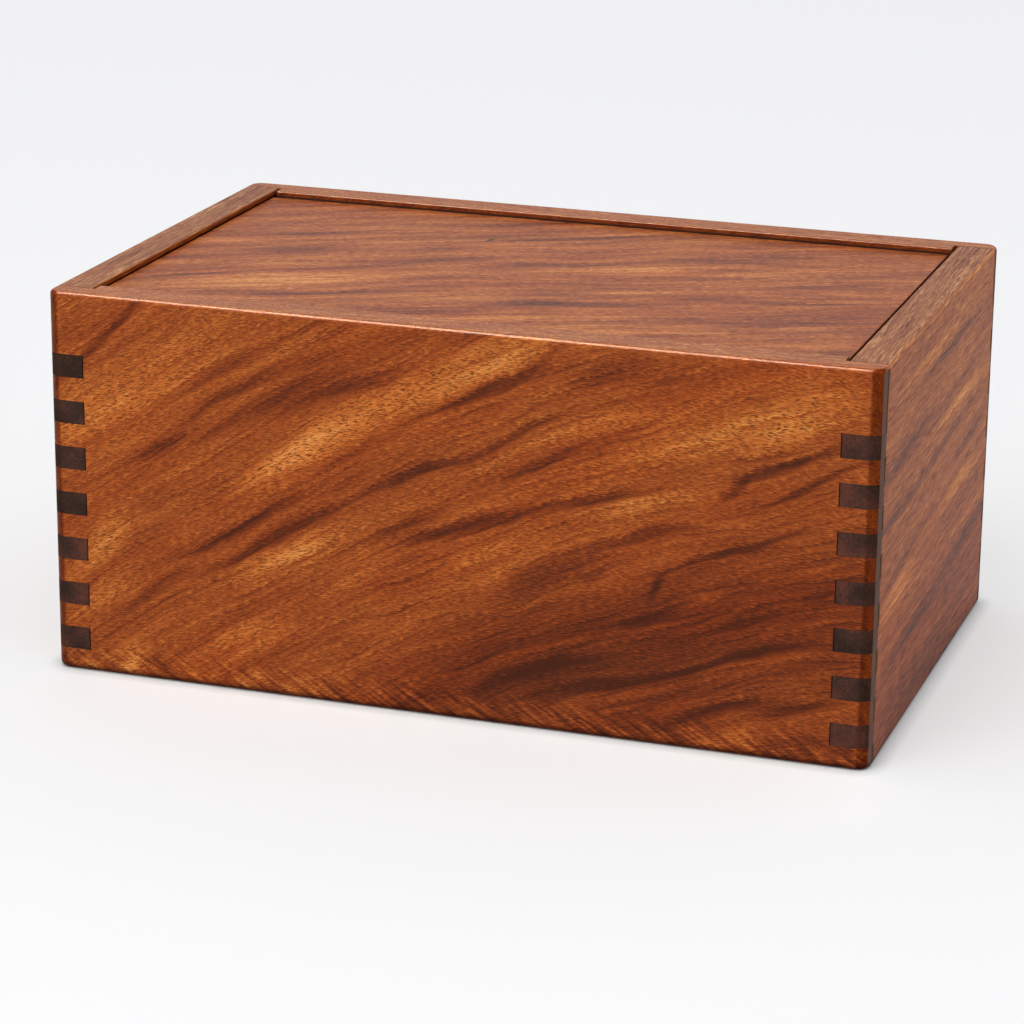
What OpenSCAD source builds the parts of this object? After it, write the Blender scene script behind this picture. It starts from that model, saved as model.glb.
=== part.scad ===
// Chess box with a sliding lid: finger-jointed hardwood, a fixed divider and a baize lining.
// The lid slides out to the left, carried by tongues that run in grooves under the rim.
// Origin: centre of the underside. +X to the right, +Y to the back, +Z up. Millimetres.

/* [Body] */
// Overall length, left end to right end
body_w = 240; // [200:1:300]
// Overall depth, front face to back face
body_d = 152; // [120:1:200]
// Overall height, underside to rim
body_h = 112; // [80:1:160]
// Thickness of the front and back boards
side_t = 11; // [9:0.5:16]
// Thickness of the two end boards
end_t = 11; // [9:0.5:16]
// Radius of the four upright corners
corner_r = 4; // [3.5:0.25:5.5]
// Radius of the outer top edge
rim_edge_r = 1.3; // [0.5:0.1:1.7]
// Radius of the outer bottom edge
foot_edge_r = 1.6; // [0.5:0.1:1.7]

/* [Corner joints] */
// How far the end boards are housed into the front and back boards
housing_d = 4.5; // [3:0.25:5.5]
// How much shallower the lid groove and the bottom rebate are than that housing
cut_short = 0.5; // [0.25:0.25:1]
// Height of one finger
finger_h = 6.6; // [4:0.2:9]
// Height of the wood between two fingers
finger_gap = 6.9; // [4:0.2:9]
// Plain wood from the rim down to the first finger
finger_top = 18; // [14:0.5:28]
// Least plain wood under the last finger
finger_foot = 5; // [3:0.5:12]
// Glue gap on each face of a joint
joint_fit = 0.05; // [0:0.01:0.1]

/* [Lid] */
// Depth of the lid's face below the rim
lid_recess = 1.8; // [1:0.1:3]
// Wood left above the groove that the lid runs in
lip_t = 5; // [4:0.25:7]
// Thickness of the lid's tongues
tongue_t = 3; // [2:0.25:4]
// Depth of the groove in the right end board
stop_groove_d = 4; // [3:0.25:6]
// Running clearance around everything that slides
slide_clear = 0.3; // [0.2:0.05:0.5]
// Gap between the lid's face and the front and back lips
lid_side_gap = 0.5; // [0.3:0.1:1]
// Gap between the lid's face and the right end board
lid_end_gap = 2; // [1:0.1:3]
// Length of lip cut back beside the end boards
lip_relief = 1.2; // [0.6:0.1:2]
// How far the lid reaches under its end strip
strip_lap = 6; // [4:0.5:7]

/* [Bottom] */
// Thickness of the bottom panel
bottom_t = 5; // [3:0.5:8]
// Gap around the edge of the bottom panel
bottom_fit = 0.2; // [0.1:0.05:0.4]

/* [Divider] */
// Thickness of the divider
divider_t = 5; // [4:0.5:8]
// Depth of the divider's housings
divider_housing_d = 2.5; // [2:0.25:4]
// Height of the lid's groove above the top of the divider
divider_drop = 3.4; // [1:0.2:12]

/* [Lining] */
// Thickness of the baize
baize_t = 1; // [0.6:0.1:2]
// How far each piece of baize is trimmed short at its edges
baize_trim = 0.3; // [0.1:0.1:1]

/* [Hidden] */
$fn = 64;

left = -1;
right = 1;
// Length by which a cutter runs past the face that it opens
over = 1;

// Half sizes of the box outside and inside
out_x = body_w / 2;
out_y = body_d / 2;
in_x = out_x - end_t;
in_y = out_y - side_t;

// The end boards reach as far as the laps of the front and back boards
lap_t = side_t - housing_d;
end_reach = out_y - lap_t;

// Grooves and rebates run out inside the housings, so none shows on the outside
groove_d = housing_d - cut_short;
seat_d = groove_d;

// Fingers, counted from the rim down
finger_pitch = finger_h + finger_gap;
finger_count = floor((body_h - finger_top - finger_foot + finger_gap) / finger_pitch);

// Lid groove and the lid in it
groove_h = tongue_t + 2 * slide_clear;
groove_top = body_h - lip_t;
groove_floor = groove_top - groove_h;
lid_under = groove_floor + slide_clear;
lid_face = body_h - lid_recess;
tongue_reach = in_y + groove_d - slide_clear;

// Divider and lining heights
divider_top = groove_floor - divider_drop;
divider_half = divider_t / 2;
baize_top = bottom_t + baize_t;

// A block given by its lowest and highest corners
module block(low, high) {
    translate(low) cube(high - low);
}

// Right half of an upright section through the body, with its outer edges rounded
module half_section(half_w) {
    middle = body_h / 2;
    translate([0, foot_edge_r]) square([half_w, body_h - foot_edge_r - rim_edge_r]);
    square([half_w - foot_edge_r, middle]);
    translate([0, middle]) square([half_w - rim_edge_r, middle]);
    translate([half_w - foot_edge_r, foot_edge_r]) circle(foot_edge_r);
    translate([half_w - rim_edge_r, body_h - rim_edge_r]) circle(rim_edge_r);
}

module full_section(half_w) {
    half_section(half_w);
    mirror([1, 0]) half_section(half_w);
}

// The outside of the whole box as it leaves the sander: every board is cut from this
module sanded_outline() {
    straight_x = out_x - corner_r;
    straight_y = out_y - corner_r;
    rotate([90, 0, 90]) linear_extrude(2 * straight_x, center = true) full_section(out_y);
    rotate([90, 0, 0]) linear_extrude(2 * straight_y, center = true) full_section(out_x);
    for (sx = [left, right], sy = [-1, 1])
        translate([sx * straight_x, sy * straight_y, 0]) rotate_extrude() half_section(corner_r);
}

// The fingers of the right end board in its front edge, grown by a gap and run back as far as root_y
module front_fingers(gap, root_y) {
    for (i = [0 : finger_count - 1]) {
        finger_z = body_h - finger_top - finger_h - i * finger_pitch;
        low = [in_x - gap, -out_y - over, finger_z - gap];
        high = [out_x + over, root_y, finger_z + finger_h + gap];
        block(low, high);
    }
}

// What is cut out of the front board at its right end
module front_end_cuts() {
    lap_y = -out_y + lap_t;
    block([in_x - joint_fit, lap_y, -over], [out_x + over, -in_y + over, body_h + over]);
    block([in_x - lip_relief, lap_y, groove_floor], [out_x, -in_y + over, body_h + over]);
    front_fingers(joint_fit, lap_y + over);
}

// The front board; the back board is its mirror image
module side_board() {
    groove_y = -in_y - groove_d;
    seat_y = -in_y - seat_d;
    dado_half = divider_half + joint_fit;
    dado_y = -in_y - divider_housing_d;
    intersection() {
        sanded_outline();
        difference() {
            block([-out_x, -out_y, 0], [out_x, -in_y, body_h]);
            front_end_cuts();
            mirror([1, 0, 0]) front_end_cuts();
            block([-out_x - over, groove_y, groove_floor], [out_x + over, -in_y + over, groove_top]);
            block([-out_x - over, seat_y, -over], [out_x + over, -in_y + over, bottom_t]);
            block([-dado_half, dado_y, bottom_t - over], [dado_half, -in_y + over, divider_top + joint_fit]);
        }
    }
}

// A right-hand end board up to the height given, with its fingers at front and back
module end_board(height) {
    shoulder_y = end_reach - joint_fit;
    intersection() {
        sanded_outline();
        difference() {
            union() {
                block([in_x, -shoulder_y, 0], [out_x, shoulder_y, height]);
                front_fingers(0, -end_reach + over);
                mirror([0, 1, 0]) front_fingers(0, -end_reach + over);
            }
            block([in_x - over, -end_reach, -over], [in_x + seat_d, end_reach, bottom_t]);
        }
    }
}

module front_board() {
    color("#9c5427") side_board();
}

module back_board() {
    color("#94502a") mirror([0, 1, 0]) side_board();
}

module left_end_board() {
    color("#7d4a30") mirror([1, 0, 0]) end_board(groove_floor);
}

module right_end_board() {
    color("#7d4a30") difference() {
        end_board(body_h);
        block([in_x - over, -out_y, groove_floor], [in_x + stop_groove_d, out_y, groove_top]);
    }
}

module bottom_panel() {
    reach_x = in_x + seat_d - bottom_fit;
    reach_y = in_y + seat_d - bottom_fit;
    color("#8a5a38") block([-reach_x, -reach_y, 0], [reach_x, reach_y, bottom_t]);
}

module divider() {
    reach_y = in_y + divider_housing_d - joint_fit;
    color("#8a5a38") block([-divider_half, -reach_y, bottom_t], [divider_half, reach_y, divider_top]);
}

// Baize of the right-hand compartment
module floor_lining_right() {
    low_x = divider_half + baize_trim;
    high_x = in_x - baize_trim;
    reach_y = in_y - baize_trim;
    color("#1d5a3a") block([low_x, -reach_y, bottom_t], [high_x, reach_y, baize_top]);
}

module wall_lining_right_front() {
    low = [divider_half + baize_trim, -in_y, baize_top];
    high = [in_x - baize_trim, -in_y + baize_t, divider_top];
    color("#1d5a3a") block(low, high);
}

module wall_lining_right_back() {
    mirror([0, 1, 0]) wall_lining_right_front();
}

module wall_lining_right_end() {
    reach_y = in_y - baize_t - baize_trim;
    color("#1d5a3a") block([in_x - baize_t, -reach_y, baize_top], [in_x, reach_y, divider_top]);
}

module wall_lining_right_divider() {
    reach_y = in_y - baize_t - baize_trim;
    low = [divider_half, -reach_y, baize_top];
    high = [divider_half + baize_t, reach_y, divider_top];
    color("#1d5a3a") block(low, high);
}

// The left-hand compartment is lined in the same way, mirrored
module floor_lining_left() {
    mirror([1, 0, 0]) floor_lining_right();
}

module wall_lining_left_front() {
    mirror([1, 0, 0]) wall_lining_right_front();
}

module wall_lining_left_back() {
    mirror([1, 0, 0]) wall_lining_right_back();
}

module wall_lining_left_end() {
    mirror([1, 0, 0]) wall_lining_right_end();
}

module wall_lining_left_divider() {
    mirror([1, 0, 0]) wall_lining_right_divider();
}

// The lid's panel: a raised face on a thinner layer whose edges are the tongues
module lid_panel() {
    strip_face = -in_x + joint_fit;
    tongue_top = lid_under + tongue_t;
    tongue_left = -in_x - strip_lap;
    tongue_right = in_x + stop_groove_d - slide_clear;
    face_y = in_y - lid_side_gap;
    color("#a4603c") union() {
        block([tongue_left, -tongue_reach, lid_under], [tongue_right, tongue_reach, tongue_top]);
        block([strip_face, -face_y, lid_under], [in_x - lid_end_gap, face_y, lid_face]);
    }
}

// The strip that ends the lid, closes the left end of the rim and is pulled to open the box
module lid_end_strip() {
    reach_y = end_reach - slide_clear;
    rebate_x = -in_x - strip_lap - joint_fit;
    rebate_top = lid_under + tongue_t + joint_fit;
    color("#7d4a30") intersection() {
        sanded_outline();
        difference() {
            block([-out_x, -reach_y, lid_under], [-in_x, reach_y, body_h]);
            block([rebate_x, -reach_y - over, lid_under - over], [-in_x + over, reach_y + over, rebate_top]);
        }
    }
}

front_board();
back_board();
left_end_board();
right_end_board();
bottom_panel();
divider();
floor_lining_left();
floor_lining_right();
wall_lining_left_front();
wall_lining_left_back();
wall_lining_left_end();
wall_lining_left_divider();
wall_lining_right_front();
wall_lining_right_back();
wall_lining_right_end();
wall_lining_right_divider();
lid_panel();
lid_end_strip();
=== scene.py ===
# %% [markdown]
# # A finger-jointed chess box with a sliding lid
# The box is made of lacquered rosewood boards. Every board is already cut to its real size in
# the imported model, so this script only dresses it: it softens the edges that a hand would
# touch, lines the inside with baize, and paints the wood and the light. Blender counts in
# metres, so millimetres are multiplied by MM.

import math

import bmesh
import bpy
from mathutils import Matrix, Vector


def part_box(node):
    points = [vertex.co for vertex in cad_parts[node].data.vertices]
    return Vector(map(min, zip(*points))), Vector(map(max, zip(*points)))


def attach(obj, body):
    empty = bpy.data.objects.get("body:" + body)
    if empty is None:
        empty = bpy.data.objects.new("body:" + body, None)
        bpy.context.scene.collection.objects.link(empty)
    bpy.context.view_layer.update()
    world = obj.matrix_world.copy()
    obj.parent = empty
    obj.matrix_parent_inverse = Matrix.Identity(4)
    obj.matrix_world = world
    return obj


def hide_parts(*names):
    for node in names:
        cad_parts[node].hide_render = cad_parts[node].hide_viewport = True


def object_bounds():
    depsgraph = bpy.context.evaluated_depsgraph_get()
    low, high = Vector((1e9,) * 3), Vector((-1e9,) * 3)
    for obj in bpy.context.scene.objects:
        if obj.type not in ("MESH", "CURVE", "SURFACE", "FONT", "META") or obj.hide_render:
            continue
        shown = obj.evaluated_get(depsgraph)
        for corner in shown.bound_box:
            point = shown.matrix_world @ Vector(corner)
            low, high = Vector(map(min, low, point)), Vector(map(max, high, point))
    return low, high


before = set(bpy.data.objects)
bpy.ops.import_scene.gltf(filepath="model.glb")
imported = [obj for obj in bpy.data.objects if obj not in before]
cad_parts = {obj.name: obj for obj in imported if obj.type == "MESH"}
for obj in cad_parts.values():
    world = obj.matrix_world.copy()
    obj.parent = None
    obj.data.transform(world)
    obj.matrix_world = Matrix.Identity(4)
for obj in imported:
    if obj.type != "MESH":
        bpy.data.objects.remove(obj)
cad_low, cad_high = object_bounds()
MM = 0.001
X, Y, Z = 0, 1, 2
BOARD_MM = (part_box("back_board")[1].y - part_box("back_board")[0].y) / MM
LID_FACE_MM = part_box("lid_panel")[1].z / MM
print("the model measures", [round(side / MM, 1) for side in cad_high - cad_low], "mm")

# %% [markdown]
# ## The camera
# The picture was taken from the front, a little to the right and above, with a long lens. The
# camera's place and angles were found by lining up the seven corners of the box that can be
# seen. A camera looks along its own -Z, so it is rolled, tipped up to the horizon and down
# again by its pitch, and then turned to the left.

# %% Stand the camera
CAMERA_PLACE = Vector((0.3077, -0.9438, 0.3546))
CAMERA_YAW = math.radians(18.44)
CAMERA_PITCH = math.radians(17.72)
CAMERA_ROLL = math.radians(0.6)
CAMERA_LENS_MM = 124.0

camera_data = bpy.data.cameras.new("camera")
camera_data.lens = CAMERA_LENS_MM
camera = bpy.data.objects.new("camera", camera_data)
bpy.context.scene.collection.objects.link(camera)
roll = Matrix.Rotation(CAMERA_ROLL, 4, "Z")
look_down = Matrix.Rotation(math.radians(90) - CAMERA_PITCH, 4, "X")
turn_left = Matrix.Rotation(CAMERA_YAW, 4, "Z")
camera.matrix_world = Matrix.Translation(CAMERA_PLACE) @ turn_left @ look_down @ roll
bpy.context.scene.camera = camera
print("the camera stands", round(CAMERA_PLACE.length, 2), "m from the middle of the box's foot")

# %% [markdown]
# ## Nodes in plain words
# Every finish below is worked out by nodes, and node code gets long. Each of these helpers adds
# a node or two and returns the output, so a pattern can be written almost like a formula. A
# Painter knows the plain sums, and each class after it adds a group of helpers to the one
# before.

# %% Helpers for sums


class Painter:
    """Adds nodes to one material and returns their outputs."""

    def __init__(self, name):
        self.material = bpy.data.materials.new(name)
        self.material.use_nodes = True
        self.tree = self.material.node_tree
        self.shader = self.tree.nodes["Principled BSDF"]

    def feed(self, socket, value):
        """Link a socket to an output, or set it to a plain value."""
        if isinstance(value, bpy.types.NodeSocket):
            self.tree.links.new(value, socket)
        else:
            socket.default_value = value

    def coat(self, finish):
        """Feed the shader's own sockets, given by their names."""
        for name, value in finish.items():
            self.feed(self.shader.inputs[name], value)

    def math(self, operation, *values):
        """One sum, named as Blender's Math node names it."""
        node = self.tree.nodes.new("ShaderNodeMath")
        node.operation = operation
        for socket, value in zip(node.inputs, values):
            self.feed(socket, value)
        return node.outputs[0]

    def total(self, first, *rest):
        """All the values added up."""
        for value in rest:
            first = self.math("ADD", first, value)
        return first

    def span(self, value, low, high, to_low=0.0, to_high=1.0):
        """A smooth step from to_low to to_high as value goes from low to high."""
        node = self.tree.nodes.new("ShaderNodeMapRange")
        node.interpolation_type = "SMOOTHSTEP"
        sockets = ("Value", "From Min", "From Max", "To Min", "To Max")
        for socket, number in zip(sockets, (value, low, high, to_low, to_high)):
            self.feed(node.inputs[socket], number)
        return node.outputs["Result"]

    def split(self, vector):
        """The three numbers of a vector."""
        node = self.tree.nodes.new("ShaderNodeSeparateXYZ")
        self.feed(node.inputs[0], vector)
        return list(node.outputs)

    def join(self, x, y, z):
        """A vector of three numbers."""
        node = self.tree.nodes.new("ShaderNodeCombineXYZ")
        for socket, value in zip(node.inputs, (x, y, z)):
            self.feed(socket, value)
        return node.outputs[0]


# %% Helpers for patterns
DASH_EDGE = 0.46
DASH_CORE = 0.26


class PatternPainter(Painter):
    """Adds the clouds, dashes and marks that a natural surface is made of."""

    def moved(self, space, offset):
        """Space moved by an offset."""
        node = self.tree.nodes.new("ShaderNodeVectorMath")
        self.feed(node.inputs[0], space)
        self.feed(node.inputs[1], offset)
        return node.outputs[0]

    def stretch(self, space, length, width, start):
        """Space measured in specks that are length long, width wide and width deep."""
        node = self.tree.nodes.new("ShaderNodeVectorMath")
        node.operation = "MULTIPLY_ADD"
        self.feed(node.inputs[0], space)
        node.inputs[1].default_value = (1 / length, 1 / width, 1 / width)
        node.inputs[2].default_value = (start, start, start)
        return node.outputs[0]

    def noise(self, space, length, width, start, gain, detail=1.0):
        """Cloudy noise in long specks, from about -gain / 4 to gain / 4, and 0 on average."""
        node = self.tree.nodes.new("ShaderNodeTexNoise")
        self.feed(node.inputs["Vector"], self.stretch(space, length, width, start))
        node.inputs["Scale"].default_value = 1.0
        node.inputs["Detail"].default_value = detail
        return self.math("MULTIPLY_ADD", node.outputs["Fac"], gain, -gain / 2)

    def dashes(self, space, length, width, share, start):
        """Dashes, one to a cell. share is how many cells keep theirs, from 0 to 1 for all."""
        node = self.tree.nodes.new("ShaderNodeTexVoronoi")
        self.feed(node.inputs["Vector"], self.stretch(space, length, width, start))
        node.inputs["Scale"].default_value = 1.0
        chance = self.split(node.outputs["Color"])[0]
        near = self.span(node.outputs["Distance"], DASH_EDGE, DASH_CORE)
        return self.math("MULTIPLY", near, self.math("LESS_THAN", chance, share))

    def mark(self, space, x, y, length, width, turn, strength):
        """A soft lens-shaped mark: strength in its middle, 0 past its edge.

        x and y are its middle, length and width half its size, and turn is in degrees.
        """
        place = self.tree.nodes.new("ShaderNodeMapping")
        place.vector_type = "TEXTURE"
        self.feed(place.inputs["Vector"], space)
        place.inputs["Location"].default_value = (x, y, 0)
        place.inputs["Rotation"].default_value = (0, 0, math.radians(turn))
        place.inputs["Scale"].default_value = (length, width, 1)
        distance = self.tree.nodes.new("ShaderNodeVectorMath")
        distance.operation = "LENGTH"
        self.feed(distance.inputs[0], place.outputs[0])
        return self.span(distance.outputs["Value"], 0, 1, strength, 0)


# %% Helpers for colour and relief
# A Mix node has sockets for every kind of data. These are its sockets for colours.
MIX_FIRST = 6
MIX_SECOND = 7
MIX_RESULT = 2
RAMP_MIDDLE = 0.5


def srgb(red, green, blue):
    """A colour read off a screen, from 0 to 255, as the linear light that shaders add up."""
    return tuple(((part / 255 + 0.055) / 1.055) ** 2.4 for part in (red, green, blue))


def dyed(colour, red, green, blue):
    """A colour with its red, green and blue multiplied."""
    return (colour[0] * red, colour[1] * green, colour[2] * blue)


class SurfacePainter(PatternPainter):
    """Turns patterns into colour and relief, and knows where on the object a point lies."""

    def ramp(self, value, stops):
        """Colours between stops, each (place from 0 to 1, colour)."""
        node = self.tree.nodes.new("ShaderNodeValToRGB")
        self.feed(node.inputs[0], value)
        elements = node.color_ramp.elements
        while len(elements) < len(stops):
            elements.new(RAMP_MIDDLE)
        for element, (place, colour) in zip(elements, stops):
            element.position = place
            element.color = (*colour, 1)
        return node.outputs["Color"]

    def mix(self, share, first, second, blend="MIX"):
        """The first colour where share is 0, and the second where it is 1."""
        node = self.tree.nodes.new("ShaderNodeMix")
        node.data_type = "RGBA"
        node.blend_type = blend
        self.feed(node.inputs[0], share)
        for number, colour in ((MIX_FIRST, first), (MIX_SECOND, second)):
            linked = isinstance(colour, bpy.types.NodeSocket)
            self.feed(node.inputs[number], colour if linked else (*colour, 1))
        return node.outputs[MIX_RESULT]

    def tint(self, colour, share, factors):
        """The colour times factors, as far as share says."""
        return self.mix(share, colour, self.mix(1, colour, factors, "MULTIPLY"))

    def place_mm(self):
        """Where a point lies on its object, as three numbers in millimetres."""
        coords = self.tree.nodes.new("ShaderNodeTexCoord").outputs["Object"]
        return [self.math("MULTIPLY", metres, 1 / MM) for metres in self.split(coords)]

    def normal(self):
        """Which way the surface faces, as three numbers from -1 to 1."""
        return self.split(self.tree.nodes.new("ShaderNodeNewGeometry").outputs["Normal"])

    def bump(self, height, strength, depth):
        """Light the surface as if height stood out of it by up to depth."""
        node = self.tree.nodes.new("ShaderNodeBump")
        node.inputs["Strength"].default_value = strength
        node.inputs["Distance"].default_value = depth
        self.feed(node.inputs["Height"], height)
        self.feed(self.shader.inputs["Normal"], node.outputs["Normal"])


# %% [markdown]
# ## The floor and the light
# The box stands on a white sweep of paper. A plain plane that runs far past the view makes the
# sweep. The paper in the picture is almost white even beside the box, so part of its light is a
# glow of its own, which no shadow can take away. A real contact shadow is dark, though, so an
# Ambient Occlusion node fades the glow within a few millimetres of whatever stands on the paper.

# %% Lay the floor
FLOOR_SIDE = 8.0
FLOOR_DROP = 0.02 * MM
bm = bmesh.new()
bmesh.ops.create_grid(bm, x_segments=1, y_segments=1, size=FLOOR_SIDE / 2)
bmesh.ops.translate(bm, vec=(0, 0, -FLOOR_DROP), verts=bm.verts)
floor_mesh = bpy.data.meshes.new("floor")
bm.to_mesh(floor_mesh)
bm.free()
floor = bpy.data.objects.new("floor", floor_mesh)
bpy.context.scene.collection.objects.link(floor)
print("the paper is", FLOOR_SIDE, "m wide")

# %% Make the paper
PAPER_FINISH = {
    "Base Color": (0.53, 0.532, 0.537, 1),
    "Roughness": 0.7,
    "Specular IOR Level": 0.0,
    "Emission Color": (1.0, 1.0, 1.005, 1),
}
PAPER_GLOW = 0.4
CONTACT_REACH = 5 * MM
CONTACT_POWER = 1.5
CONTACT_RAYS = 6


def white_paper():
    """Paper that glows a little, but not right beside what stands on it."""
    paper = Painter("paper")
    paper.coat(PAPER_FINISH)
    openness = paper.tree.nodes.new("ShaderNodeAmbientOcclusion")
    openness.samples = CONTACT_RAYS
    openness.inputs["Distance"].default_value = CONTACT_REACH
    fade = paper.math("POWER", openness.outputs["AO"], CONTACT_POWER)
    paper.coat({"Emission Strength": paper.math("MULTIPLY", fade, PAPER_GLOW)})
    return paper.material


floor_mesh.materials.append(white_paper())
print("its glow fades within", round(CONTACT_REACH / MM, 1), "mm of the box")

# %% [markdown]
# A pale world lights the paper from all round, as the white walls of a small studio do. Three
# soft lamps help it. The fill stands at the front left. The rim lamp hangs high on the same
# side and draws the thin bright line along the box's top edge: only gloss sees it. The sweep
# lamp hangs over the paper in front of the box and brightens it.

# %% Light the world
WORLD_COLOUR = (0.98, 0.985, 1.0, 1)
WORLD_STRENGTH = 0.85
world = bpy.data.worlds.new("studio")
world.use_nodes = True
background = world.node_tree.nodes["Background"]
background.inputs["Color"].default_value = WORLD_COLOUR
background.inputs["Strength"].default_value = WORLD_STRENGTH
bpy.context.scene.world = world
bpy.context.scene.view_settings.view_transform = "Standard"
print("the world shines at", WORLD_STRENGTH)

# %% Hang the lamps
BOX_MIDDLE = (0.0, 0.0, 0.06)
PAPER_IN_FRONT = (0.05, -0.45, 0.0)
LAMP_WHITE = (1.0, 1.0, 1.0)
LAMP_AMBER = (1.0, 0.93, 0.72)


def soft_light(name, place, target, width, height, watts, colour=LAMP_WHITE):
    """A rectangular lamp that faces a point."""
    data = bpy.data.lights.new(name, "AREA")
    data.shape = "RECTANGLE"
    data.size = width
    data.size_y = height
    data.energy = watts
    data.color = colour
    lamp = bpy.data.objects.new(name, data)
    bpy.context.scene.collection.objects.link(lamp)
    lamp.location = place
    lamp.rotation_mode = "QUATERNION"
    lamp.rotation_quaternion = (Vector(target) - Vector(place)).to_track_quat("-Z", "Y")
    print(f"{name}: {watts} W over {width} by {height} m")
    return lamp


soft_light("fill", place=(-0.7, -1.5, 1.5), target=BOX_MIDDLE, width=1.6, height=1.2, watts=9.0)
rim_light = soft_light("rim", place=(-0.42, -0.42, 1.25), target=BOX_MIDDLE,
                       width=1.0, height=0.8, watts=290.0, colour=LAMP_AMBER)
rim_light.visible_diffuse = False
soft_light("sweep", place=(0.05, -0.45, 0.8), target=PAPER_IN_FRONT,
           width=0.5, height=0.5, watts=1.1)

# %% [markdown]
# ## Rosewood
# Two patterns cross on a rosewood board. The fibres, with their open pores, run nearly along
# the board. The coloured growth layers cut through them at an angle, which is the diagonal
# figure that makes this box. So each board gets two sets of coordinates in millimetres: one
# that follows its fibres and one that follows its layers. A single number, the value, gathers
# everything that makes the wood darker or lighter, and one ramp turns it into colour.
#
# How a board was sawn and finished is its cut, a dictionary with all lengths in millimetres:
# - axes: which of X, Y and Z run along the board, across it and out of its face
# - face: how far its face lies from the middle of the box, or for the lid from the table, and
#   0 for the wood of the inside, where it doesn't matter
# - climb, bend, lean: how the layers slope along the board, how that slope changes on the way,
#   and how they slope into the wood
# - fibre_climb, fibre_bend, fibre_waver: how the fibres slope, bend and waver
# - fibre_length, fibre_width, fibre_contrast, feather: how large and how strong the fibres
#   are, and how far they draw out the edges of the layers
# - band_contrast, streak_contrast, vein_depth, reach: how strong the broad bands, the narrow
#   streaks and the dark veins are, and how far all three are stretched along the board
# - pore_length, pore_share, pore_depth: how long, how many and how dark the pores are
# - warmth: how much redder the wood is in patches
# - crossed: up to what height some fibres cross the others, if they do
# - tip: how far from the middle the tips of its fingers begin, if it has fingers
# - high_tint, top_tint, arris_tint: a painted sheen that grows high up, a painted sheen on top,
#   and a painted highlight on the rounded edges on top
# - polish: how much its finish mirrors

# %% The colours of rosewood, from its darkest veins to its palest sapwood
VALUES = [
    (0.00, srgb(70, 33, 19)),
    (0.16, srgb(90, 41, 22)),
    (0.32, srgb(114, 51, 23)),
    (0.46, srgb(140, 66, 28)),
    (0.60, srgb(162, 83, 35)),
    (0.78, srgb(190, 110, 48)),
    (1.00, srgb(216, 144, 76)),
]
WARM_TINT = (1.0, 0.86, 0.80)
PORE_COLOUR = srgb(80, 35, 15)
SEAM_COLOUR = srgb(48, 31, 25)
DARK_END_GRAIN = srgb(60, 40, 34)
FACE_END_GRAIN = srgb(130, 83, 46)
CORNER_STRIP = srgb(98, 76, 67)

# %% The two ways that the wood runs
PORE_WIDTH = 0.36


class WoodPainter(SurfacePainter):
    """Paints a board. cut says how the board was sawn, start picks its own piece of the tree."""

    def __init__(self, name, cut, start):
        super().__init__(name)
        self.cut = cut
        self.start = start
        self.place = self.place_mm()
        self.along, self.across, outward = (self.place[axis] for axis in cut["axes"])
        # how far a point lies from the board's middle, from the box's long axis, and in the wood
        self.from_middle = self.math("ABSOLUTE", self.along)
        self.from_axis = self.math("ABSOLUTE", self.place[Y])
        self.depth = self.math("SUBTRACT", cut["face"], self.math("ABSOLUTE", outward))
        normal = self.normal()
        self.up = normal[Z]
        self.sides = [self.math("ABSOLUTE", part) for part in normal]

    def cloud(self, number, space, length, width, gain=1.0, detail=1.0):
        """Noise of the board's own. Each pattern has its own number, so no two are alike."""
        return self.noise(space, length, width, self.start + number, gain, detail)

    def follow_fibres(self):
        """Coordinates that follow the fibres."""
        cut = self.cut
        climb = self.math("MULTIPLY_ADD", self.along, cut["fibre_bend"], cut["fibre_climb"])
        rise = self.math("MULTIPLY", self.along, climb)
        flat = self.join(self.along, self.across, self.depth)
        waver = self.noise(flat, length=6, width=4, start=5.0, gain=cut["fibre_waver"], detail=0.0)
        fibre_along = self.math("MULTIPLY_ADD", self.across, cut["fibre_climb"], self.along)
        fibre_across = self.total(self.math("SUBTRACT", self.across, rise), waver)
        return self.join(fibre_along, fibre_across, self.depth)

    def fibres(self, grain):
        """The light and dark fibres."""
        length, width = self.cut["fibre_length"], self.cut["fibre_width"]
        return self.cloud(41, grain, length, width, detail=2.0)

    def pores(self, grain):
        """The open pores, thin dashes along the fibres."""
        cut = self.cut
        return self.dashes(grain, length=cut["pore_length"], width=PORE_WIDTH,
                           share=cut["pore_share"], start=self.start + 57)

    def follow_layers(self, fibre):
        """Coordinates that follow the growth layers, which waver and feather at the fibres."""
        cut = self.cut
        climb = self.math("MULTIPLY_ADD", self.along, cut["bend"], cut["climb"])
        rise = self.math("MULTIPLY", self.along, climb)
        layer = self.math("MULTIPLY_ADD", self.depth, cut["lean"],
                          self.math("SUBTRACT", self.across, rise))
        flat = self.join(self.along, layer, self.depth)
        slow = self.cloud(0, flat, length=55 * cut["reach"], width=26, gain=7.0, detail=0.0)
        quick = self.cloud(3, flat, length=15 * cut["reach"], width=6, gain=3.0)
        smooth = self.join(self.along, self.total(layer, slow, quick), self.depth)
        feather = self.math("MULTIPLY", fibre, cut["feather"])
        return self.moved(smooth, self.join(0, feather, 0))


# %% The figure of the wood
VEIN_EDGE, VEIN_CORE = 0.05, 0.2
STRAND_SLOPE = 0.6


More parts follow.
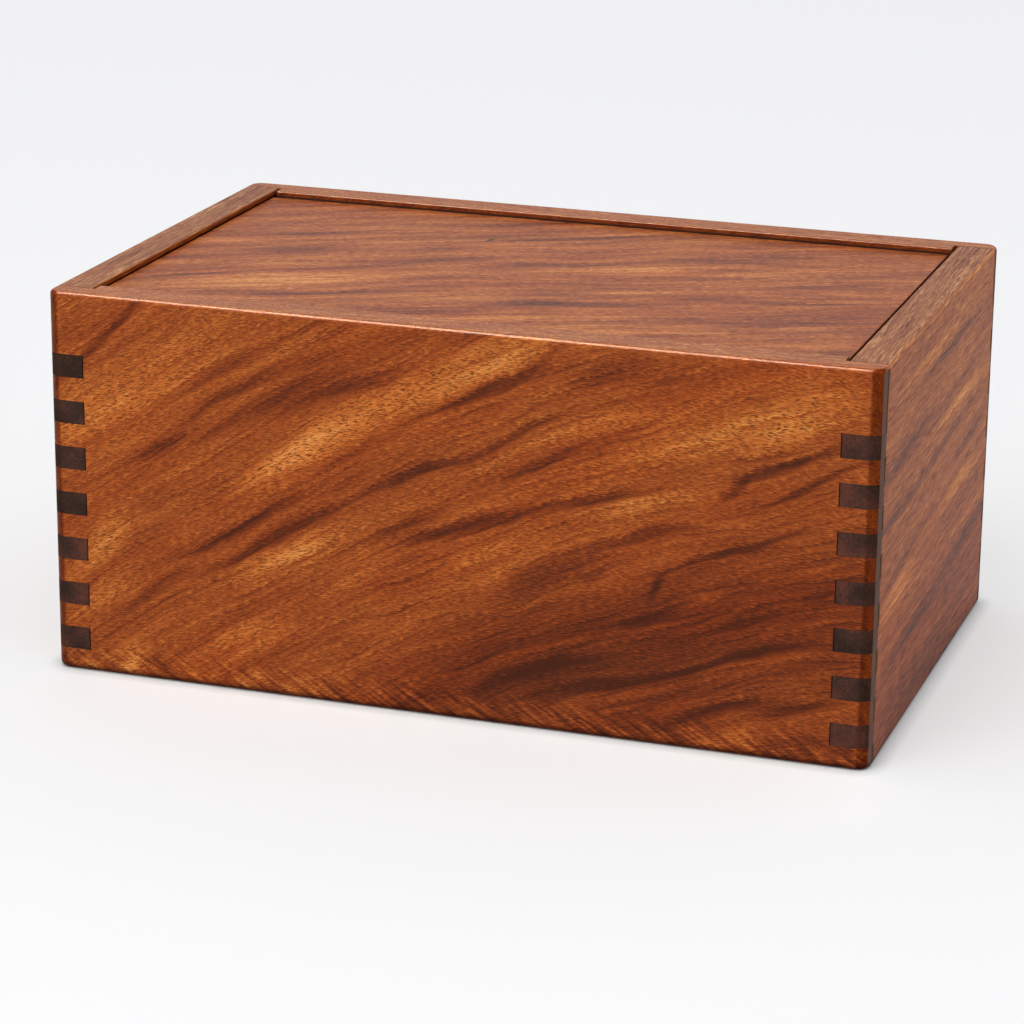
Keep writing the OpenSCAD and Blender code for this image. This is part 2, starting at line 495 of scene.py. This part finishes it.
class FigurePainter(WoodPainter):
    """Adds all that makes the wood darker or lighter."""

    def bands(self, space):
        """Broad bands, narrow streaks and thin dark veins along the layers."""
        cut = self.cut
        band = self.cloud(11, space, length=50 * cut["reach"], width=6,
                          gain=cut["band_contrast"], detail=2.0)
        streak = self.cloud(17, space, length=24 * cut["reach"], width=1.4,
                            gain=cut["streak_contrast"])
        vein = self.cloud(23, space, length=34 * cut["reach"], width=0.8)
        dark_vein = self.span(vein, VEIN_EDGE, VEIN_CORE, 0, -cut["vein_depth"])
        return self.total(band, streak, dark_vein)

    def crossing(self):
        """Fibres that turn across the others near the foot of the board."""
        slanted = self.math("MULTIPLY_ADD", self.along, STRAND_SLOPE, self.across)
        space = self.join(self.along, slanted, self.depth)
        strands = self.cloud(37, space, length=10, width=1.6, gain=1.25)
        foot = self.span(self.across, self.cut["crossed"], self.cut["crossed"] / 3)
        return self.math("MULTIPLY", strands, foot)

    def value(self, space, fibre, marks, tone):
        """How light the wood is, mostly from 0 to 1. tone is its level before veins and marks."""
        contrast = self.math("MULTIPLY", fibre, self.cut["fibre_contrast"])
        value = self.total(self.bands(space), contrast, tone)
        for mark in marks:
            value = self.math("ADD", value, self.mark(space, *mark))
        if "crossed" in self.cut:
            value = self.math("ADD", value, self.crossing())
        return value


# %% [markdown]
# Cut across, the same wood looks dark and dull, because its open ends drink the finish. Painted
# shade darkens the upright roundings of the corners, the inner faces, the gap round the lid and
# the foot, a painted highlight lightens the rounded top edges, and a painted sheen pales the
# faces on top. Where a rounding runs out into an end of the box it is a grey strip, with the thin
# dark glue line of the corner joint beside it. Each of these is a share from 0 to 1 over the
# surface. A share never jumps: it is a smooth step between two limits. The limits are distances
# in millimetres, or they say how squarely the surface faces some way, where 1 is exactly that
# way and 0 is at right angles to it.

# %% Where a board is cut across
CUT_ACROSS = (0.82, 0.94)
TIP_SOFTNESS = 0.3
END_DARKER = (0.6, 0.6, 0.6)
END_PALER = (2.3, 1.6, 1.4)


class EndPainter(FigurePainter):
    """Adds the open ends of a board."""

    def end_grain(self, colour):
        """The colour with fine specks and wider stains."""
        place = self.join(*self.place)
        specks = self.cloud(71, place, length=0.7, width=0.7, gain=0.9, detail=2.0)
        stains = self.cloud(77, place, length=9, width=9, gain=1.5)
        return self.ramp(self.total(specks, stains, RAMP_MIDDLE), [
            (0.15, dyed(colour, *END_DARKER)),
            (RAMP_MIDDLE, colour),
            (0.95, dyed(colour, *END_PALER)),
        ])

    def on_end(self):
        """1 on the end faces, and on the tips of the fingers."""
        ends = self.span(self.sides[self.cut["axes"][0]], *CUT_ACROSS)
        if "tip" in self.cut:
            tip = self.span(self.from_middle, self.cut["tip"], self.cut["tip"] + TIP_SOFTNESS)
            ends = self.math("MAXIMUM", ends, tip)
        return ends


# %% Where two boards meet
CORNER_RADIUS = 4.0
STRIP_INNER = cad_high.y / MM - CORNER_RADIUS
STRIP_SOFTNESS = 0.1
SEAM_MIDDLE = STRIP_INNER - 0.6
SEAM_EDGE, SEAM_CORE = 0.75, 0.4
RAIL_SEAM = 69.0
RAIL_SEAM_SOFTNESS = 0.5
RAIL_SEAM_STRENGTH = 0.5
FACING = (0.9, 0.97)
ENTERING_END = (0.83, 0.89)


class SeamPainter(EndPainter):
    """Adds the lines along which the boards are glued to each other."""

    def on_top(self):
        """1 where the surface faces up."""
        return self.span(self.up, *FACING)

    def on_strip(self):
        """1 where a corner's rounding runs out into an end of the box."""
        outside = self.span(self.from_axis, STRIP_INNER - STRIP_SOFTNESS,
                            STRIP_INNER + STRIP_SOFTNESS)
        return self.math("MULTIPLY", self.span(self.sides[X], *ENTERING_END), outside)

    def on_seam(self):
        """1 on the glue line beside the strip."""
        off_line = self.math("ABSOLUTE", self.math("SUBTRACT", self.from_axis, SEAM_MIDDLE))
        near = self.span(off_line, SEAM_EDGE, SEAM_CORE)
        return self.math("MULTIPLY", near, self.span(self.sides[X], *FACING))

    def on_rail_seam(self):
        """A faint line at the ends of the rim's short rails, where they meet the long ones."""
        outside = self.span(self.from_middle, RAIL_SEAM - RAIL_SEAM_SOFTNESS, RAIL_SEAM,
                            0, RAIL_SEAM_STRENGTH)
        return self.math("MULTIPLY", outside, self.on_top())


# %% Where a board is round, and where painted highlight and shade go
NOT_FLAT = (0.985, 0.9)
TURNING_UP = (0.1, 0.3)
TURNING_CORNER = (0.03, 0.3)
CORNER_ON_END = 0.35
WALL_SOFTNESS = 0.5
GAP_SHADE_HEIGHT = 0.7
FOOT_SHADE_HEIGHT = 2.6
NOT_UNDERNEATH = (-0.98, -0.85)


class EdgePainter(SeamPainter):
    """Adds the rounded edges, and the places where painted highlight and shade go."""

    def on_arris(self):
        """1 on the rounded edges."""
        flattest = self.math("MAXIMUM", self.math("MAXIMUM", self.sides[X], self.sides[Y]),
                             self.sides[Z])
        return self.span(flattest, *NOT_FLAT)

    def on_top_arris(self, arris):
        """1 on the rounded edges on top, where a painted highlight goes."""
        return self.math("MULTIPLY", arris, self.span(self.up, *TURNING_UP))

    def on_corner(self, ends):
        """1 in the upright roundings, which get painted shade, and less where they cross an end."""
        rounding = self.span(self.math("MINIMUM", self.sides[X], self.sides[Y]), *TURNING_CORNER)
        return self.math("MULTIPLY", rounding, self.span(ends, 0, 1, 1, CORNER_ON_END))

    def on_inner_face(self):
        """1 a board's thickness below its face, on the inner faces that get painted shade."""
        return self.span(self.depth, BOARD_MM - WALL_SOFTNESS, BOARD_MM)

    def in_gap(self):
        """1 on the inner faces from just above the lid's face down, where painted shade fills the
        gap.
        """
        low = self.span(self.place[Z], LID_FACE_MM + GAP_SHADE_HEIGHT,
                        LID_FACE_MM + GAP_SHADE_HEIGHT / 3)
        return self.math("MULTIPLY", self.on_inner_face(), low)

    def at_foot(self):
        """1 at the foot of the sides, not on the underside: painted shade in place of a contact
        shadow.
        """
        low = self.span(self.place[Z], FOOT_SHADE_HEIGHT, FOOT_SHADE_HEIGHT / 4)
        return self.math("MULTIPLY", low, self.span(self.up, *NOT_UNDERNEATH))


# %% [markdown]
# The layers of colour go on in this order: first the sound wood with its pores, then its cut
# ends and joints with painted shade in the upright roundings, and last the painted highlight on
# the rounded top edges, the painted sheen on top and the painted shade on the inner faces, in
# the gap round the lid and at the foot. The finish is a thin satin lacquer, so very little is
# mirrored, and least of all on the ends.

# %% Helpers that paint the layers
HIGH_UP = (10, 70)
WARM_EDGE, WARM_CORE = -0.3, 0.5
PALE_EDGE, PALE_CORE = 0.4, 0.7
SHALLOW_PORE = 0.25
# painted shade for the upright roundings, the inner faces, the gap round the lid and the foot
CORNER_SHADE = (0.47, 0.34, 0.12)
INNER_FACE_SHADE = (0.72, 0.60, 0.44)
GAP_SHADE_TINT = (0.16, 0.10, 0.07)
FOOT_SHADE_TINT = (0.26, 0.21, 0.18)


class BoardPainter(EdgePainter):
    """Adds the layers of colour, each over the one before."""

    def sound_wood(self, space, value, pores):
        """The ramp's colours, redder in warm patches. Pores show deepest in pale wood."""
        cut = self.cut
        colour = self.ramp(value, VALUES)
        warm = self.cloud(29, space, length=70, width=20, gain=1.6, detail=3.0)
        colour = self.tint(colour, self.span(warm, WARM_EDGE, WARM_CORE, 0, cut["warmth"]),
                           WARM_TINT)
        # painted sheen that grows higher up
        if "high_tint" in cut:
            colour = self.tint(colour, self.span(self.place[Z], *HIGH_UP), cut["high_tint"])
        deepest = cut["pore_depth"]
        deep = self.span(value, PALE_EDGE, PALE_CORE, SHALLOW_PORE * deepest, deepest)
        return self.mix(self.math("MULTIPLY", pores, deep), colour, PORE_COLOUR)

    def ends_joints_and_corner_shade(self, colour, ends, end_colour):
        """What the saw and the glue have left, and painted shade in the upright roundings."""
        colour = self.mix(ends, colour, self.end_grain(end_colour))
        # painted shade in the upright roundings of the corners
        colour = self.tint(colour, self.on_corner(ends), CORNER_SHADE)
        colour = self.mix(self.on_strip(), colour, CORNER_STRIP)
        colour = self.mix(self.on_seam(), colour, SEAM_COLOUR)
        if "tip" in self.cut:
            colour = self.mix(self.on_rail_seam(), colour, SEAM_COLOUR)
        return colour

    def painted_light_and_shade(self, colour, arris, gap):
        """Painted highlight and sheen on top, and painted shade on inner faces, in the gap and at
        foot.
        """
        # painted highlight on the rounded top edges
        colour = self.tint(colour, self.on_top_arris(arris), self.cut["arris_tint"])
        # painted sheen on the faces on top
        colour = self.tint(colour, self.on_top(), self.cut["top_tint"])
        # painted shade on the inner faces
        colour = self.tint(colour, self.on_inner_face(), INNER_FACE_SHADE)
        # painted shade in the gap round the lid
        colour = self.tint(colour, gap, GAP_SHADE_TINT)
        # painted shade at the foot, in place of a contact shadow
        return self.tint(colour, self.at_foot(), FOOT_SHADE_TINT)


# %% Paint a board
ROUGHNESS = 0.36
ROUGHNESS_OF_FIBRE = -0.3
ROUGHNESS_OF_ARRIS = -0.1
ROUGHNESS_OF_END = 0.45
FIBRE_RELIEF = 0.6
RELIEF_STRENGTH = 0.3
RELIEF_DEPTH = 0.1 * MM


def rosewood(name, cut, marks, tone, start=0.0, end_colour=DARK_END_GRAIN):
    """Rosewood cut as cut says, with marks at places (along, layer) in millimetres."""
    board = BoardPainter(name, cut, start)
    grain = board.follow_fibres()
    fibre = board.fibres(grain)
    pores = board.pores(grain)
    space = board.follow_layers(fibre)
    value = board.value(space, fibre, marks, tone)
    ends = board.on_end()
    arris = board.on_arris()
    gap = board.in_gap()

    colour = board.sound_wood(space, value, pores)
    colour = board.ends_joints_and_corner_shade(colour, ends, end_colour)
    colour = board.painted_light_and_shade(colour, arris, gap)
    dull = board.math("MAXIMUM", ends, gap)
    roughness = board.math("MULTIPLY_ADD", fibre, ROUGHNESS_OF_FIBRE, ROUGHNESS)
    roughness = board.math("MULTIPLY_ADD", arris, ROUGHNESS_OF_ARRIS, roughness)
    roughness = board.math("MULTIPLY_ADD", dull, ROUGHNESS_OF_END, roughness)
    board.coat({"Base Color": colour, "Roughness": roughness,
                "Specular IOR Level": cut["polish"]})

    relief = board.math("SUBTRACT", board.math("MULTIPLY", fibre, FIBRE_RELIEF), pores)
    off_arris = board.span(arris, 0, 1, 1, 0)
    board.bump(board.math("MULTIPLY", relief, off_arris), RELIEF_STRENGTH, RELIEF_DEPTH)
    print(f"{name}: {len(marks)} marks, {len(board.tree.nodes)} nodes")
    return board.material


# %% [markdown]
# ## The front and back boards
# The front board is the show piece. Its layers climb steeply at the left and flatten to the
# right, while the fibres stay nearly level. The marks are the board's own: honey-coloured
# patches and smoky veins, each given as (along the board, layer, half length, half width, turn
# in degrees, how much lighter or darker).

# %% Paint the front board
SIDE_CUT = dict(
    axes=(X, Z, Y), face=cad_high.y / MM,
    climb=0.50, bend=-0.00105, lean=2.5,
    fibre_climb=0.16, fibre_bend=-0.0008, fibre_waver=1.6,
    fibre_length=2.2, fibre_width=0.3, fibre_contrast=0.95, feather=2.2,
    band_contrast=0.42, streak_contrast=0.34, vein_depth=0.18, reach=0.75,
    pore_length=1.9, pore_share=1.0, pore_depth=0.78,
    warmth=1.0, crossed=12.0,
    # top_tint is a painted sheen, and arris_tint a painted highlight
    top_tint=(1.38, 2.05, 3.5), arris_tint=(1.3, 1.12, 0.7), polish=0.048,
)
FRONT_MARKS = [
    (-18, 99, 58, 10, 0, 0.28),
    (-46, 97, 28, 8, -3, 0.22),
    (14, 97, 26, 7, 0, 0.20),
    (12, 108, 28, 4, -6, -0.18),
    (-104, 104, 16, 9, 10, 0.30),
    (-106, 87, 14, 6, 0, 0.20),
    (-95, 142, 44, 20, 0, 0.21),
    (-112, 150, 20, 14, 0, 0.10),
    (-46, 69, 30, 6.5, -4, 0.28),
    (-60, 53, 16, 5, 0, 0.20),
    (-54, 46, 18, 5, -3, 0.18),
    (75, 58, 58, 12, 0, 0.17),
    (100, 60, 28, 14, 0, 0.08),
    (55, 44, 24, 4, -4, 0.24),
    (10, 45, 22, 4, 0, 0.16),
    (40, 71, 34, 4, -2, 0.14),
    (-60, 128, 34, 5, -6, 0.10),
    (20, 11, 24, 4, -4, 0.12),
    (90, -8, 26, 3, -4, 0.10),
    (104, 15, 14, 1.6, 0, 0.20),
    (75, 13, 10, 1.5, -4, 0.15),
    (-98, 62, 12, 4, 20, 0.20),
    (-101, 164, 18, 2.8, 20, -0.36),
    (-86, 121, 16, 4, -10, -0.22),
    (-28, 108, 32, 4, -6, -0.30),
    (-52, 114, 34, 4, -4, -0.26),
    (-60, 123, 32, 4, -5, -0.24),
    (-76, 132, 34, 3.5, -4, -0.18),
    (-60, 84, 30, 3.2, -3, -0.42),
    (-50, 76.3, 34, 3.0, -2, -0.42),
    (-8, 75, 34, 2.8, -2, -0.32),
    (22, 75, 22, 2.2, 6, -0.28),
    (8, 90, 28, 2.6, 0, -0.34),
    (27, 93, 13, 3, 22, -0.22),
    (48, 84, 34, 6, -6, -0.12),
    (6, 54, 32, 3.4, -8, -0.42),
    (40, 49, 32, 2.4, -5, -0.34),
    (-14, 61, 17, 3.5, -5, -0.22),
    (28, 64.5, 20, 2.0, 6, -0.30),
    (52, 66.5, 18, 2.0, 4, -0.16),
    (95, 46.5, 26, 2.0, 3, -0.42),
    (81, 43.5, 8, 2.4, 35, -0.32),
    (102, 39.5, 20, 1.8, 10, -0.36),
    (60, 34, 22, 2.6, -2, -0.32),
    (30, 32, 36, 6, -3, -0.16),
    (84, 25, 28, 2.2, 6, -0.36),
    (60, 19.5, 8, 2.4, 60, -0.28),
    (56, 11.5, 18, 2.8, 0, -0.32),
    (26, 4, 34, 5, -4, -0.34),
    (86, 4, 20, 2.0, 0, -0.26),
    (104, 6.5, 12, 1.8, 5, -0.26),
    (48, -4, 36, 3.4, -5, -0.34),
    (84, -6, 36, 2.2, -2, -0.32),
    (76, -20, 30, 2.6, 0, -0.30),
    (100, -23, 18, 2.0, 0, -0.26),
    (-90, 79, 22, 3.6, 4, -0.20),
    (80, 0, 120, 42, 0, -0.26),
    (10, 12, 60, 24, 0, -0.22),
    (104, -36, 30, 9, 0, -0.22),
]
front_wood = rosewood("front_rosewood", SIDE_CUT, FRONT_MARKS, tone=0.53,
                      end_colour=FACE_END_GRAIN)

# %% Paint the back board
BACK_MARKS = [
    (40, 96, 60, 9, 0, 0.26),
    (-50, 70, 44, 7, 0, 0.24),
    (70, 40, 40, 8, 0, 0.22),
    (-70, 120, 40, 5, 4, -0.26),
    (-10, 84, 60, 3, -2, -0.40),
    (30, 58, 50, 5, -4, -0.30),
    (80, 14, 50, 6, 0, -0.30),
]
back_wood = rosewood("back_rosewood", SIDE_CUT, BACK_MARKS, tone=0.51, start=60.0,
                     end_colour=FACE_END_GRAIN)

# %% [markdown]
# ## The lid, the ends and the inside
# The lid comes from the same kind of board but lies flat. The end boards are straight-grained,
# with long fine streaks, and cooler: they have fewer warm patches and a painted sheen. Their cut
# ends drink the finish, which turns the fingers of the corner joints almost black.

# %% Paint the lid
LID_CUT = dict(
    axes=(X, Y, Z), face=LID_FACE_MM,
    climb=0.45, bend=-0.00055, lean=3.0,
    fibre_climb=0.16, fibre_bend=-0.0004, fibre_waver=1.6,
    fibre_length=2.6, fibre_width=0.36, fibre_contrast=1.15, feather=2.2,
    band_contrast=0.8, streak_contrast=0.6, vein_depth=0.14, reach=0.85,
    pore_length=2.2, pore_share=0.7, pore_depth=0.55,
    warmth=1.0,
    top_tint=(1.0, 1.03, 1.05), arris_tint=(1.1, 1.0, 0.8), polish=0.06,
)
LID_MARKS = [
    (-66, -1, 54, 14, -2, 0.30),
    (22, 2, 40, 8, 0, 0.18),
    (72, -1, 34, 8, 0, 0.18),
    (-100, 54, 18, 6, -4, 0.24),
    (-103, 26, 14, 6, 0, 0.20),
    (-20, 36, 20, 6, 0, 0.12),
    (0, -54, 30, 5, 0, 0.14),
    (30, -27, 24, 4, -2, 0.14),
    (-85, 62, 32, 3.6, 0, -0.24),
    (-80, 38, 26, 6, -6, -0.24),
    (-95, 9, 24, 2.6, 8, -0.28),
    (-60, 13, 32, 2.2, 3, -0.18),
    (-35, 17, 32, 4, 0, -0.22),
    (5, 12, 32, 4, 0, -0.26),
    (50, 14, 32, 5, 2, -0.26),
    (-10, 45, 32, 3, 0, -0.16),
    (10, 46, 22, 3, 0, -0.22),
    (-25, 68, 32, 5, 0, -0.14),
    (-26, 46, 1.8, 4, -12, -0.50),
    (-55, -20, 28, 4, -3, -0.26),
    (-25, -16, 17, 3, 0, -0.20),
    (-20, -49, 32, 4, -4, -0.26),
    (5, -40, 19, 5, 10, -0.20),
    (25, -42, 36, 3.6, -2, -0.30),
    (85, -41, 28, 2.6, 0, -0.30),
    (80, -22, 22, 4, 4, -0.26),
    (90, -8, 22, 3, 4, -0.18),
    (55, -78, 17, 3, 4, -0.36),
    (80, -65, 24, 4, 0, -0.22),
    (100, -98, 13, 3.5, 6, -0.32),
    (90, 22, 26, 5, 0, -0.24),
    (95, -58, 26, 16, 0, -0.22),
    (40, -74, 44, 12, 0, 0.10),
]
lid_wood = rosewood("lid_rosewood", LID_CUT, LID_MARKS, tone=0.60, start=100.0)

# %% Paint the end boards
END_CUT = dict(
    axes=(Y, Z, X), face=cad_high.x / MM,
    climb=0.04, bend=0.0, lean=1.5,
    fibre_climb=0.03, fibre_bend=0.0, fibre_waver=0.5,
    fibre_length=8.0, fibre_width=0.32, fibre_contrast=1.0, feather=2.0,
    band_contrast=0.4, streak_contrast=0.5, vein_depth=0.12, reach=3.0,
    pore_length=6.0, pore_share=0.5, pore_depth=0.5,
    # high_tint and top_tint are painted sheen, and arris_tint a painted highlight
    warmth=0.3, high_tint=(1.02, 1.17, 1.14),
    top_tint=(1.05, 1.56, 3.6), arris_tint=(1.45, 2.0, 3.2), polish=0.022,
)
JOINTED_END_CUT = dict(END_CUT, tip=STRIP_INNER)
END_MARKS = [
    (20, 96, 90, 2.5, 0, -0.20),
    (-45, 83, 54, 3, 0, -0.22),
    (30, 83, 54, 2.5, 2, -0.16),
    (-55, 68, 46, 3, 0, -0.22),
    (-10, 68, 50, 3, 4, -0.16),
    (-45, 51, 54, 2.5, 3, -0.18),
    (45, 59, 54, 3, 2, -0.20),
    (-30, 26, 64, 4.5, 1, -0.26),
    (45, 31, 56, 5, 2, -0.22),
    (-20, 101, 60, 4, 0, 0.20),
    (30, 77, 50, 3, 0, 0.18),
    (-50, 46, 34, 6, 0, 0.22),
    (30, 50, 40, 4, 0, 0.18),
    (0, 15, 60, 5, 0, 0.16),
    # painted shade: this broad mark darkens the board towards its foot
    (0, 0, 140, 50, 0, -0.24),
]
end_wood = rosewood("end_rosewood", JOINTED_END_CUT, END_MARKS, tone=0.52, start=200.0)
strip_wood = rosewood("lid_strip_rosewood", END_CUT, END_MARKS, tone=0.52, start=200.0)

# %% Paint the wood of the inside
INNER_CUT = dict(
    axes=(Y, X, Z), face=0.0,
    climb=0.08, bend=0.0, lean=1.5,
    fibre_climb=0.03, fibre_bend=0.0, fibre_waver=0.6,
    fibre_length=10.0, fibre_width=0.5, fibre_contrast=0.8, feather=2.0,
    band_contrast=0.8, streak_contrast=0.5, vein_depth=0.1, reach=2.0,
    pore_length=4.0, pore_share=0.3, pore_depth=0.5,
    warmth=1.0,
    top_tint=(1.0, 1.0, 1.0), arris_tint=(1.1, 1.0, 0.8), polish=0.06,
)
inner_wood = rosewood("inner_rosewood", INNER_CUT, [], tone=0.5, start=300.0)

# %% [markdown]
# ## Dressing the boards
# A board straight from the saw has edges like knives, and light never catches them. The sander
# takes a hair off each edge that a hand can reach. The outer edges are already round in the
# model. So a copy of the board's mesh is merged into one skin, its flat faces are joined, and
# only the free inner edges are bevelled.

# %% Helpers that dress a board
WELD = 0.002 * MM
FLAT_ANGLE = math.radians(0.1)
SHARP_ANGLE = math.radians(40)
SMOOTH_ANGLE = math.radians(35)
SMOOTH_COSINE = math.cos(SMOOTH_ANGLE)
ARRIS_STEPS = 3


def shade_flats_flat(mesh):
    """Each corner of a face is shaded by the faces that meet there, big ones counting most."""
    faces_at = [[] for _ in mesh.vertices]
    for face in mesh.polygons:
        for corner in face.vertices:
            faces_at[corner].append(face)
    normals = []
    for face in mesh.polygons:
        for corner in face.vertices:
            near = [other for other in faces_at[corner]
                    if other.normal.dot(face.normal) > SMOOTH_COSINE]
            shared = sum((other.normal * other.area for other in near), Vector())
            normals.append(shared.normalized())
    mesh.normals_split_custom_set(normals)


def soften(bm, arris, lies_free):
    """Merge a CAD mesh, and round those of its sharp edges that lie free."""
    bmesh.ops.remove_doubles(bm, verts=bm.verts, dist=WELD)
    bmesh.ops.dissolve_limit(bm, angle_limit=FLAT_ANGLE, verts=bm.verts, edges=bm.edges)
    sharp = [edge for edge in bm.edges if edge.calc_face_angle(0) > SHARP_ANGLE]
    chosen = [edge for edge in sharp if lies_free and lies_free(edge)]
    if chosen:
        bmesh.ops.bevel(bm, geom=chosen, offset=arris, offset_type="OFFSET", affect="EDGES",
                        segments=ARRIS_STEPS, profile=0.5, material=-1, clamp_overlap=True)
    for face in bm.faces:
        face.smooth = True
    for edge in bm.edges:
        edge.smooth = edge.calc_face_angle(0) < SMOOTH_ANGLE
    return len(chosen)


def dressed_copy(node, wood, slot_name, body, arris=0.0, lies_free=None):
    """A merged and softened copy of a CAD node, in its place."""
    bm = bmesh.new()
    bm.from_mesh(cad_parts[node].data)
    softened = soften(bm, arris, lies_free)
    mesh = bpy.data.meshes.new(node + "_dressed")
    bm.to_mesh(mesh)
    bm.free()
    shade_flats_flat(mesh)
    mesh.materials.append(wood)
    piece = bpy.data.objects.new(node + "_dressed", mesh)
    bpy.context.scene.collection.objects.link(piece)
    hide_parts(node)
    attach(piece, body)
    print(f"{node}: {softened} edges softened, {len(mesh.polygons)} faces")


# %% [markdown]
# The edges that are bevelled are told by where they lie. On the front and back boards it is the
# lip over the lid. On the right end board and the lid's own strip it is the inner edge of the
# rim. On the lid it is the edge of its face, and on the divider the edge of its top.

# %% Dress every board
SNAP = 0.02 * MM
RIM_Z = cad_high.z
INNER_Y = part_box("back_board")[0].y
INNER_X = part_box("right_end_board")[0].x
LID_FACE_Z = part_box("lid_panel")[1].z
DIVIDER_TOP_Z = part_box("divider")[1].z


def edge_at(**places):
    """A test for edges that lie at the places, such as z=RIM_Z, on either side of the middle."""
    def passes(edge):
        return all(abs(abs(getattr(end.co, axis)) - place) < SNAP
                   for end in edge.verts for axis, place in places.items())
    return passes


SIDE_LIP = edge_at(y=INNER_Y, z=RIM_Z)
END_LIP = edge_at(x=INNER_X, z=RIM_Z)
BOARDS = [
    ("front_board", front_wood, "side_wood", "box", 0.5 * MM, SIDE_LIP),
    ("back_board", back_wood, "side_wood", "box", 0.5 * MM, SIDE_LIP),
    ("left_end_board", end_wood, "end_wood", "box"),
    ("right_end_board", end_wood, "end_wood", "box", 0.4 * MM, END_LIP),
    ("bottom_panel", inner_wood, "inner_wood", "box"),
    ("divider", inner_wood, "inner_wood", "box", 0.8 * MM, edge_at(z=DIVIDER_TOP_Z)),
    ("lid_panel", lid_wood, "lid_wood", "lid", 0.4 * MM, edge_at(z=LID_FACE_Z)),
    ("lid_end_strip", strip_wood, "end_wood", "lid", 0.5 * MM, END_LIP),
]
for board in BOARDS:
    dressed_copy(*board)

# %% [markdown]
# ## The baize
# Baize is a thin woollen cloth with a brushed nap. It is cut with a knife and glued to the floor
# and walls of each compartment, so it lies flat and its cut edges are a little soft. Each piece
# starts as a flat box of the cloth's size, and its edges are rounded.

# %% Paint the baize
BAIZE_GREEN = srgb(24, 84, 48)
BAIZE_DARKER = (0.55, 0.55, 0.55)
BAIZE_PALER = (1.7, 1.7, 1.7)
BAIZE_FINISH = {
    "Roughness": 0.95,
    "Specular IOR Level": 0.15,
    "Sheen Weight": 0.18,
    "Sheen Roughness": 0.5,
}
NAP_CONTRAST = 0.9
DRIFT_CONTRAST = 0.6
NAP_STRENGTH = 0.6
NAP_DEPTH = 0.3 * MM


def baize_cloth():
    """Green cloth with a fine nap that drifts between darker and paler."""
    cloth = SurfacePainter("baize")
    place = cloth.join(*cloth.place_mm())
    nap = cloth.noise(place, length=0.45, width=0.45, start=3.0, gain=1.0, detail=3.0)
    drift = cloth.noise(place, length=22, width=22, start=9.0, gain=1.0, detail=2.0)
    shade = cloth.total(cloth.math("MULTIPLY", nap, NAP_CONTRAST),
                        cloth.math("MULTIPLY", drift, DRIFT_CONTRAST), RAMP_MIDDLE)
    colour = cloth.ramp(shade, [
        (0.2, dyed(BAIZE_GREEN, *BAIZE_DARKER)),
        (RAMP_MIDDLE, BAIZE_GREEN),
        (0.85, dyed(BAIZE_GREEN, *BAIZE_PALER)),
    ])
    cloth.coat({"Base Color": colour, **BAIZE_FINISH})
    cloth.bump(nap, NAP_STRENGTH, NAP_DEPTH)
    return cloth.material


baize = baize_cloth()
print("the baize has", len(baize.node_tree.nodes), "nodes")

# %% Cut and lay the baize
CLOTH_EDGE = 0.3 * MM
CLOTH_EDGE_STEPS = 2


def lay_baize(node):
    """A flat piece of cloth in the place of a lining node."""
    low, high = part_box(node)
    size = high - low
    bm = bmesh.new()
    bmesh.ops.create_cube(bm, size=1.0)
    bmesh.ops.scale(bm, vec=size, verts=bm.verts)
    bmesh.ops.translate(bm, vec=(low + high) / 2, verts=bm.verts)
    bmesh.ops.bevel(bm, geom=bm.edges[:], offset=CLOTH_EDGE, offset_type="OFFSET",
                    affect="EDGES", segments=CLOTH_EDGE_STEPS, profile=0.5, material=-1)
    for face in bm.faces:
        face.smooth = True
    mesh = bpy.data.meshes.new(node + "_baize")
    bm.to_mesh(mesh)
    bm.free()
    mesh.materials.append(baize)
    cloth = bpy.data.objects.new(node + "_baize", mesh)
    bpy.context.scene.collection.objects.link(cloth)
    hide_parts(node)
    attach(cloth, "box")


WALLS = {"front": "front_board_dressed", "back": "back_board_dressed", "divider": "divider_dressed"}
for side in ("left", "right"):
    lay_baize(f"floor_lining_{side}")
    lay_baize(f"wall_lining_{side}_end")
    for wall, board_name in WALLS.items():
        lay_baize(f"wall_lining_{side}_{wall}")
